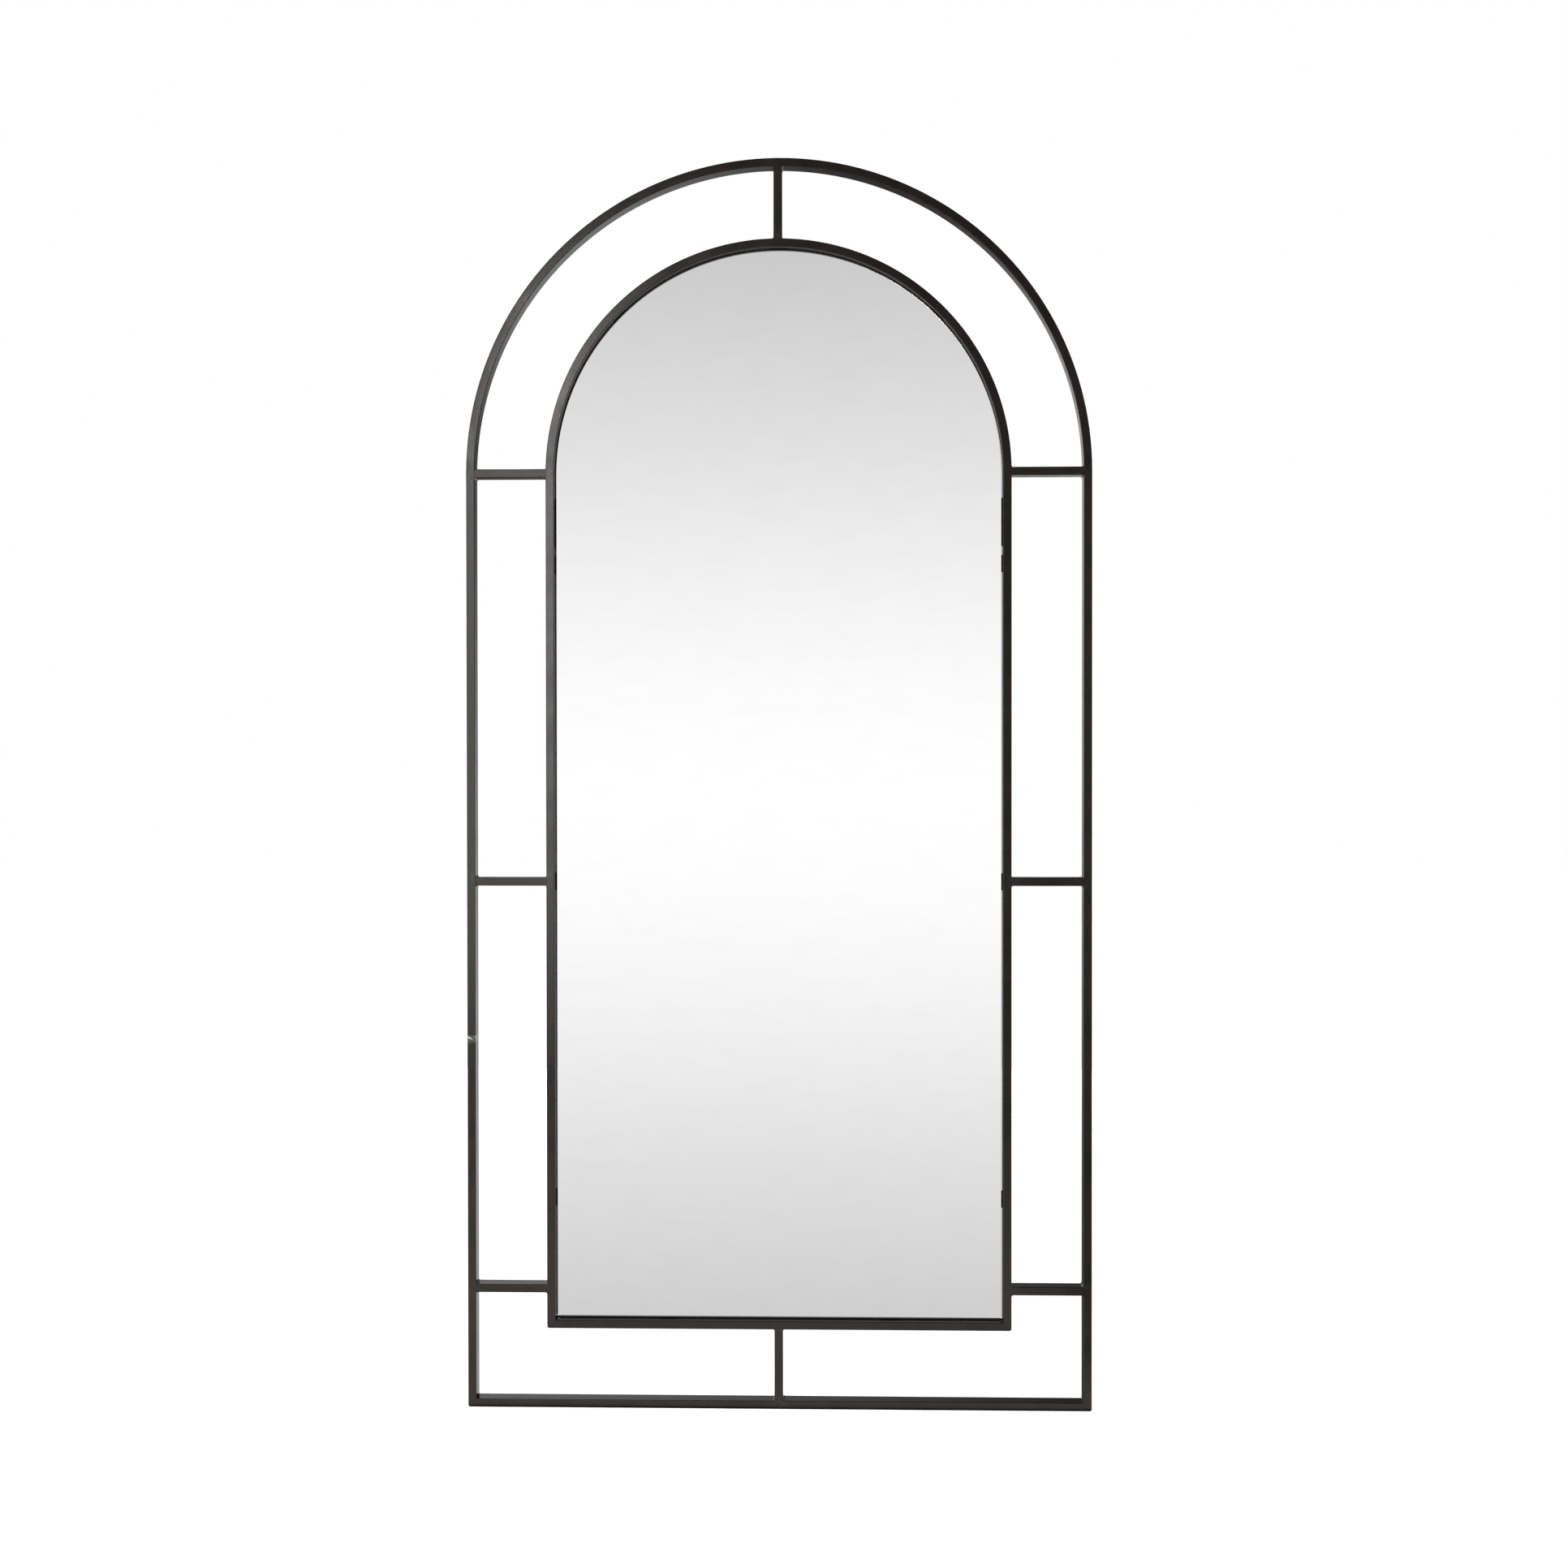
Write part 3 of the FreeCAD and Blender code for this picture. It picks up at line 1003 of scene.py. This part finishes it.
def silvering():
    # clean silvered glass with the faintest trace of wiping
    look = silverLook
    paint = Paint("silvering")
    wiped = paint.noise(look["wipe"], 3.0, paint.stretched(1.0, 1.0, 3.0))
    colour = paint.mix(paint.soft(wiped, 0.35, 0.75), look["clean"], look["haze"])
    roughness = look["roughness"] + paint.soft(wiped, 0.55, 0.85) * look["hazeRoughness"]
    return paint.finish(colour=colour, roughness=roughness, metallic=1.0)


edgeLook = {
    "grain": 1.5 * mm,
    "deep": rgb(148, 176, 164),
    "ground": rgb(196, 212, 204),
    "roughness": 0.12,
    "specular": 0.6,
}


def glassEdge():
    # ground and polished float glass, green in its depth
    look = edgeLook
    paint = Paint("glassEdge")
    ground = paint.noise(look["grain"], 2.0)
    colour = paint.mix(ground, look["deep"], look["ground"])
    roughness = look["roughness"] + ground * 0.2
    return paint.finish(colour=colour, roughness=roughness, specular=look["specular"])


backingLook = {
    "mottle": 5 * mm,
    "dark": rgb(92, 96, 98),
    "light": rgb(108, 111, 112),
    "roughness": 0.55,
}


def mirrorBacking():
    # the grey lacquer over the silver
    look = backingLook
    paint = Paint("mirrorBacking")
    mottle = paint.noise(look["mottle"], 3.0)
    colour = paint.mix(mottle, look["dark"], look["light"])
    return paint.finish(colour=colour, roughness=look["roughness"] + mottle * 0.1)


boardLook = {
    "fibre": 2.2 * mm,
    "dark": rgb(150, 116, 84),
    "light": rgb(186, 152, 116),
    "cloud": 90 * mm,
    "clouded": rgb(158, 128, 96),
    "cloudShare": 0.35,
    "fleck": 1.6 * mm,
    "flecked": rgb(98, 70, 46),
    "fleckShare": 0.55,
    "roughness": 0.78,
    "specular": 0.3,
    "nap": 0.05 * mm,
}


def fibreboard():
    # medium-density board: fine fibres, a few dark flecks, sanded face
    look = boardLook
    paint = Paint("fibreboard")
    fibres = paint.noise(look["fibre"], 6.0, paint.stretched(1.0, 1.0, 0.45), 0.7)
    clouds = paint.noise(look["cloud"], 2.0)
    flecks = paint.soft(paint.noise(look["fleck"], 2.0), 0.70, 0.78)
    colour = paint.mix(fibres, look["dark"], look["light"])
    colour = paint.mix(clouds * look["cloudShare"], colour, look["clouded"])
    colour = paint.mix(flecks * look["fleckShare"], colour, look["flecked"])
    return paint.finish(
        colour=colour,
        roughness=look["roughness"] + fibres * 0.12,
        specular=look["specular"],
        normal=paint.bump(fibres * look["nap"]),
    )


tapeLook = {
    "cell": 0.8 * mm,
    "skin": rgb(226, 225, 220),
    "pore": rgb(202, 201, 196),
    "roughness": 0.85,
    "poreDepth": 0.05 * mm,
}


def foamTape():
    look = tapeLook
    paint = Paint("foamTape")
    cells = paint.node("TexVoronoi", {}, {"Vector": paint.place, "Scale": 1 / look["cell"]})
    colour = paint.mix(cells, look["skin"], look["pore"])
    normal = paint.bump(cells * look["poreDepth"])
    return paint.finish(colour=colour, roughness=look["roughness"], normal=normal)


zincLook = {
    "cloud": 6 * mm,
    "bright": rgb(205, 208, 212),
    "dull": rgb(172, 176, 182),
    "roughness": 0.28,
    "cloudSheen": 0.14,
    "line": 0.5 * mm,
    "lineSheen": 0.06,
    "lineHeight": 0.006 * mm,
}


def zinc():
    # bright zinc plating, faintly clouded, drawn lines along the strip
    look = zincLook
    paint = Paint("zinc")
    clouds = paint.noise(look["cloud"], 3.0)
    lines = paint.noise(look["line"], 2.0, paint.stretched(1.0, 1.0, 0.08))
    colour = paint.mix(paint.soft(clouds, 0.3, 0.75), look["bright"], look["dull"])
    return paint.finish(
        colour=colour,
        roughness=look["roughness"] + clouds * look["cloudSheen"] + lines * look["lineSheen"],
        metallic=1.0,
        normal=paint.bump(lines * look["lineHeight"]),
    )


rubberLook = {
    "grain": 0.6 * mm,
    "grainHeight": 0.02 * mm,
    "clean": rgb(30, 30, 31),
    "dust": 4 * mm,
    "dusty": rgb(74, 72, 70),
    "dustShare": 0.35,
    "roughness": 0.62,
    "dustSheen": 0.2,
}


def rubber():
    look = rubberLook
    paint = Paint("rubber")
    grain = paint.noise(look["grain"], 2.0)
    dust = paint.soft(paint.noise(look["dust"], 3.0), 0.5, 0.8)
    colour = paint.mix(dust * look["dustShare"], look["clean"], look["dusty"])
    return paint.finish(
        colour=colour,
        roughness=look["roughness"] + dust * look["dustSheen"],
        normal=paint.bump(grain * look["grainHeight"]),
    )


def cover(piece, *materials):
    piece.data.materials.clear()
    for material in materials:
        piece.data.materials.append(material)


def coverNode(node, material):
    # a CAD piece keeps its mesh and takes a finish in its own slots
    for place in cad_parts[node].material_slots:
        place.material = material


def coverPane(pane):
    # silver in front, green glass round the edge, paint behind
    cover(pane, silvering(), glassEdge(), mirrorBacking())
    for face in pane.data.polygons:
        if face.normal.y < -0.99:
            face.material_index = 0
        elif face.normal.y > 0.99:
            face.material_index = 2
        else:
            face.material_index = 1


# ---- the studio

studio = {
    "floorSize": 30.0,
    "floorMottle": 0.4,
    "floorColours": (rgb(238, 238, 238), rgb(243, 243, 243)),
    "floorRoughness": 0.9,
    "floorGlow": 1.0,
    "ambient": 0.28,           # share of the surroundings that lights matt surfaces
    "peak": 1.06,              # brightness level with the camera, which the glass shows
    "peakTilt": -1.0,          # degrees above the horizon
    # the share of it behind the mirror, more at the upper left and lower right than elsewhere
    "behind": 0.80,
    "slant": 22.0,
    "behindLimits": (0.12, 2.2),
    "behindFrom": 0.3,         # how far back a direction points where that share is reached
    # half the sine of the angle away from the peak, and the share of the peak there
    "fade": ((0.0, 1.0), (0.0165, 0.980), (0.030, 0.955), (0.047, 0.903), (0.067, 0.830), (0.0885, 0.742),
             (0.105, 0.686), (0.124, 0.618), (0.16, 0.50), (0.45, 0.30)),
    "lights": {
        # place, degrees turned about X (90 faces the mirror, 180 faces up), size, watts
        "strip": {"place": (-0.83, -3.4, 1.97), "turn": 90, "size": (0.2, 0.95), "power": 50.0},
        "lowStrip": {"place": (-0.82, -3.4, 1.10), "turn": 90, "size": (0.15, 0.8), "power": 29.0},
        "footStrip": {"place": (-0.95, -3.4, 0.42), "turn": 90, "size": (0.5, 0.56), "power": 13.0},
        "rightFill": {"place": (1.3, -3.4, 0.95), "turn": 90, "size": (0.2, 1.7), "power": 9.0},
        "floorBounce": {"place": (-0.44, -0.9, 0.001), "turn": 180, "size": (1.82, 1.76), "power": 29.5},
        "backFill": {"place": (0, 3.2, 1.3), "turn": -90, "size": (3.5, 3.0), "power": 35.0},
    },
}


def makeFloor():
    # pale and nearly shadowless; the glass shows the studio's own gradient instead of it
    floor = newPiece("floor", bpy.ops.mesh.primitive_plane_add, size=studio["floorSize"])
    paint = Paint("paleFloor")
    mottle = paint.noise(studio["floorMottle"], 2.0)
    colour = paint.mix(mottle, *studio["floorColours"])
    finish = paint.finish(
        colour=colour,
        roughness=studio["floorRoughness"],
        glow=colour,
        glowStrength=studio["floorGlow"],
    )
    cover(floor, finish)
    floor.visible_glossy = False
    floor.visible_diffuse = False
    return floor


class Surroundings(Paint):
    # the world's nodes, with the direction looked in as x, y and z
    def __init__(self, world):
        world.use_nodes = True
        self.tree = world.node_tree
        self.tree.nodes.clear()
        self.place = self.node("TexCoord", {}, {}, "Generated")
        self.x, self.y, self.z = (self.node("SeparateXYZ", {}, {0: self.place}, axis) for axis in range(3))


def makeWorld():
    # white to look at; what is reflected is a white band that greys up and down, with its own share behind
    world = bpy.data.worlds.new("studio")
    bpy.context.scene.world = world
    sky = Surroundings(world)
    centre = 0.5 + 0.5 * math.sin(math.radians(studio["peakTilt"]))
    stops = []
    for away, level in studio["fade"]:
        for side in (-1, 1) if away else (1,):
            stops.append((min(max(centre + side * away, 0.0), 1.0), (level, level, level, 1)))
    band = sky.node("ValToRGB", {"stops": stops}, {0: sky.z * 0.5 + 0.5})
    dimmest, brightest = studio["behindLimits"]
    atBack = sky.least(sky.most(studio["behind"] - sky.x * sky.z * studio["slant"], dimmest), brightest)
    share = 1 - (1 - atBack) * sky.soft(sky.y, 0.0, studio["behindFrom"])
    matt = sky.node("LightPath", {}, {}, "Is Diffuse Ray")
    strength = (share + matt * (studio["ambient"] - share)) * studio["peak"]
    lit = sky.node("Background", {}, {"Color": band, "Strength": strength})
    seen = sky.node("Background", {}, {"Color": (1, 1, 1, 1)})
    bare = sky.node("LightPath", {}, {}, "Is Camera Ray")
    whole = sky.node("MixShader", {}, {0: bare, 1: lit, 2: seen})
    sky.node("OutputWorld", {}, {0: whole})


def softLight(name, place, turn, size, power):
    # an area light that lights the frame but isn't seen in the glass
    bpy.ops.object.light_add(type="AREA", location=place)
    light = bpy.context.object
    light.name = name
    light.data.shape = "RECTANGLE"
    light.data.size, light.data.size_y = size
    light.data.energy = power
    light.rotation_euler = (math.radians(turn), 0, 0)
    light.visible_camera = False
    return light


def keepOff(name, lights, pieces):
    # the lights light all but these pieces
    spared = bpy.data.collections.new(name)
    for number, piece in enumerate(pieces):
        spared.objects.link(piece)
        spared.collection_objects[number].light_linking.link_state = "EXCLUDE"
    for light in lights:
        light.light_linking.receiver_collection = spared


shot = {
    "place": (0.08521, -2.86859, 0.92991),
    "yaw": 1.540,
    "pitch": -0.560,
    "roll": 0.054,
    "lens": 45.616,
    "sensor": 36,
    "clip": (0.01, 100),
}


def makeCamera():
    bpy.ops.object.camera_add()
    camera = bpy.context.object
    turn = Matrix.Rotation(math.radians(shot["yaw"]), 4, "Z")
    turn @= Matrix.Rotation(math.radians(shot["pitch"]), 4, "X")
    turn @= Matrix.Rotation(math.radians(shot["roll"]), 4, "Y")
    turn @= Matrix.Rotation(math.pi / 2, 4, "X")
    camera.matrix_world = Matrix.Translation(shot["place"]) @ turn
    camera.data.sensor_width = shot["sensor"]
    camera.data.lens = shot["lens"]
    camera.data.clip_start, camera.data.clip_end = shot["clip"]
    bpy.context.scene.camera = camera


# ---- making it all

print("frames and spacers")
painted = []
for name, sizes in frames.items():
    painted += frameMembers(name, **sizes)
for name, place in spacers["places"].items():
    painted.append(spacer(name, *place))

print("mirror panel and fixings")
pane = mirrorPane()
zinced = [
    screwSet("panel_screws_driven", screws["tabSeat"], tabScrewPlaces(), "panel_screws"),
    screwSet("hanger_screws_driven", screws["strapSeat"], hangerScrewPlaces(), "hanger_screws"),
]
for word, side in (("left", -1), ("right", 1)):
    zinced += [hangerStrap(word, side), hangerRing(word, side)]
studs = []
for level, height in bumpers["heights"].items():
    for word, side in (("left", -1), ("right", 1)):
        studs.append(bumper(f"bumper_{level}_{word}", side * bumpers["reach"], height))

print("materials")
frameFinish = framePaint("framePaint", paintLook["roughness"])
spacerFinish = framePaint("spacerPaint", paintLook["spacerRoughness"])
zincFinish = zinc()
rubberFinish = rubber()
for piece in painted:
    cover(piece, spacerFinish if piece.name.startswith("spacer") else frameFinish)
# the slot's paint, lightened as painted light against the shade there
dryPaintedLightFinish = dryPaintWithLiftedShade()
for piece in painted:
    if piece.name.startswith("inner"):    # only these have the slot
        coverSlot(piece, dryPaintedLightFinish)
for piece in zinced:
    cover(piece, zincFinish)
for piece in studs:
    cover(piece, rubberFinish)
coverPane(pane)
finishes = {
    "back_board": fibreboard(),
    "tape_strip": foamTape(),
    "tab": frameFinish,
    "hanger_plate": frameFinish,
}
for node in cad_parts:
    for start, finish in finishes.items():
        if node.startswith(start):
            coverNode(node, finish)

print("studio")
makeFloor()
makeWorld()
lights = {name: softLight(name, **light) for name, light in studio["lights"].items()}
lights["backFill"].visible_glossy = False    # the tubes' sides would mirror it
strips = [lights.pop(name) for name in ("strip", "lowStrip", "footStrip")]
keepOff("keptOffTheGlass", lights.values(), [pane])
keepOff("keptOffGlassAndSill", strips, [pane, bpy.data.objects["inner_bottom_rail_tube"]])
makeCamera()
bpy.context.scene.view_settings.view_transform = "Standard"
